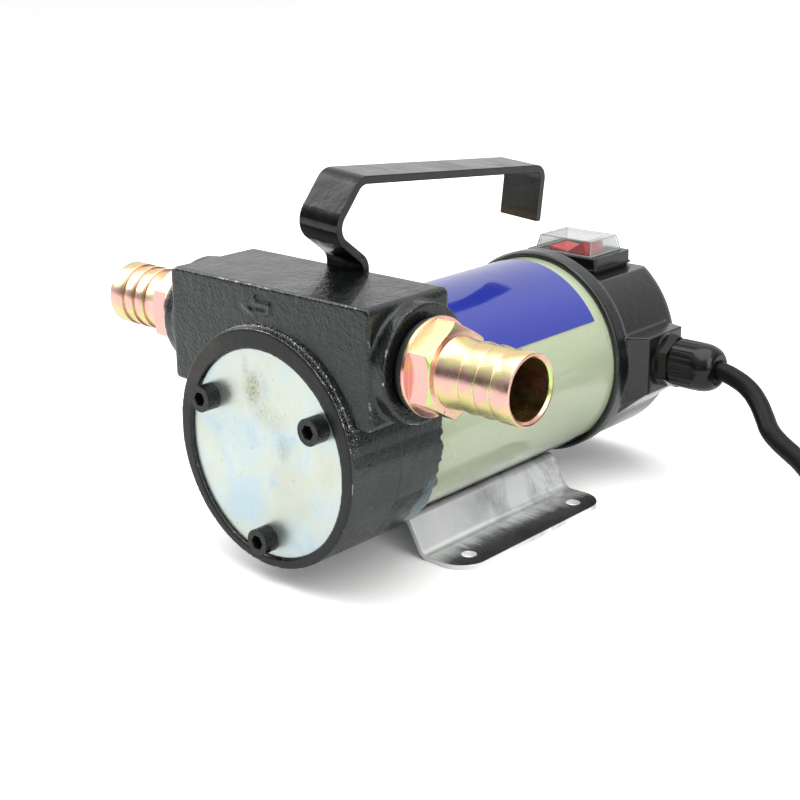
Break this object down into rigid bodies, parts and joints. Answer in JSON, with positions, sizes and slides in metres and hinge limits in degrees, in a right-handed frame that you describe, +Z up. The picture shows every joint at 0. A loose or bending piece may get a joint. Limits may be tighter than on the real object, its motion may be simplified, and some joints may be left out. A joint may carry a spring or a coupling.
{
  "type": "electric diesel transfer pump",
  "caption": "Vane pump on the end of a tubular electric motor, with two hose tails, a rocker switch under a clear boot, a carrying strip, a sheet base and a power cord.",
  "frame": {"origin": "middle of the four base holes, on the floor", "axes": "+X towards the inlet hose tail, +Y from the pump's cover to the motor's end cap, +Z up out of the base"},
  "size_m": [0.3561, 0.288, 0.1485],
  "materials": {
    "black_cast_paint": "gloss black paint over rough cast iron",
    "white_zinc": "bluish white zinc plating",
    "black_rubber": "black nitrile rubber",
    "black_oxide_steel": "black oxide steel",
    "machined_steel": "turned steel",
    "vane_composite": "dark fibre composite",
    "yellow_zinc": "yellow chromate zinc plating",
    "brass": "plain brass",
    "spring_steel": "drawn spring wire",
    "plain_steel": "plain zinc plated steel",
    "beige_paint": "pale green beige gloss paint",
    "bearing_steel": "ground bearing steel",
    "core_steel": "stacked core sheets",
    "winding_copper": "varnished copper wire",
    "commutator_copper": "worn copper",
    "brown_resin": "brown moulded resin",
    "ferrite": "dark ferrite",
    "cast_aluminium": "plain cast aluminium",
    "carbon": "carbon brush",
    "black_resin": "black potting resin",
    "blue_label": "glossy blue foil label, bare",
    "black_plastic": "satin black moulded plastic",
    "switch_black": "gloss black plastic",
    "red_rocker": "red translucent plastic",
    "clear_boot": "clear soft vinyl boot",
    "cord_black": "black cord sheath",
    "plug_black": "black moulded plug",
    "pin_nickel": "nickel plated brass",
    "bright_steel": "bright polished plating",
    "handle_paint": "gloss black paint"
  },
  "bodies": {
    "pump_body": {"pump_casting": "black_cast_paint", "cover_plate": "white_zinc", "cover_seal": "black_rubber", "cover_screws": "black_oxide_steel", "shaft_seal": "black_rubber", "inlet_hose_tail": "yellow_zinc", "outlet_hose_tail": "yellow_zinc", "inlet_seal_ring": "black_rubber", "outlet_seal_ring": "black_rubber", "bypass_spring": "spring_steel", "bypass_retainer": "brass", "motor_flange": "black_cast_paint", "flange_screws": "plain_steel", "motor_tube": "beige_paint", "front_bearing": "bearing_steel", "rear_bearing": "bearing_steel", "field_magnets": "ferrite", "tie_bolts": "plain_steel", "rear_bearing_plate": "cast_aluminium", "brush_plate": "brown_resin", "brush_holders": "brass", "brushes": "carbon", "brush_springs": "spring_steel", "rectifier": "black_resin", "rectifier_screw": "plain_steel", "label": "blue_label", "end_cap": "black_plastic", "cap_gasket": "black_rubber", "cap_screws": "black_oxide_steel", "switch_gasket": "black_rubber", "switch_frame": "switch_black", "switch_body": "switch_black", "switch_terminals": "brass", "switch_boot": "clear_boot", "gland_body": "black_plastic", "gland_locknut": "black_plastic", "gland_seal": "black_rubber", "gland_dome_nut": "black_plastic", "cord_tail": "cord_black", "power_cord": "cord_black", "cord_coil": "cord_black", "coil_tie": "cord_black", "plug_body": "plug_black", "plug_pins": "pin_nickel", "base_bracket": "bright_steel", "carry_handle": "handle_paint", "handle_screws": "black_oxide_steel"},
    "rotor": {"pump_rotor": "machined_steel", "vanes": "vane_composite", "drive_key": "machined_steel", "motor_shaft": "machined_steel", "armature_core": "core_steel", "armature_winding": "winding_copper", "commutator": "commutator_copper", "commutator_hub": "brown_resin"},
    "rocker": {"switch_rocker": "red_rocker"},
    "bypass_valve": {"bypass_poppet": "brass"}
  },
  "joints": [
    {"name": "rotor_spin", "type": "hinge", "parent": "pump_body", "child": "rotor", "pos_m": [0, 0, 0.052], "axis": [0, 1, 0], "continuous": true},
    {"name": "switch_rock", "type": "hinge", "parent": "pump_body", "child": "rocker", "pos_m": [0, 0.0949, 0.089], "axis": [0, 1, 0], "range_deg": [0, 26]},
    {"name": "bypass_slide", "type": "slide", "parent": "pump_body", "child": "bypass_valve", "axis": [1, 0, 0], "range_m": [0, 0.003], "stiffness_N_per_m": 200, "springref_m": -0.002, "deforming": ["bypass_spring"]}
  ]
}
